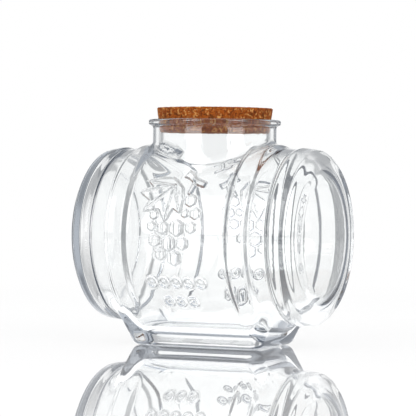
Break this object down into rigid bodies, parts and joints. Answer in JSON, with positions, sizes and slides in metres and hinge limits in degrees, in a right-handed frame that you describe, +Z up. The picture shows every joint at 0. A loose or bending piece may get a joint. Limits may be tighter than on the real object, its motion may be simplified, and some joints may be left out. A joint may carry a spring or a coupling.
{
  "type": "glass barrel jar with cork stopper",
  "caption": "Clear glass jar shaped as a barrel lying on its side, with raised hoops, a wide neck with a flat flange, a flared foot and a tapered cork stopper.",
  "frame": {"origin": "on the ground under the middle of the jar", "axes": "+X along the barrel's axis, +Z up through the neck, -Y out of the decorated face"},
  "size_m": [0.1472, 0.1122, 0.1419],
  "materials": {
    "glass": "clear colourless moulded glass, fire-polished, smooth inside and out",
    "cork": "agglomerated cork, light and dark granules, matt"
  },
  "bodies": {
    "root": {"jar": "glass", "cork": "cork"}
  },
  "joints": []
}
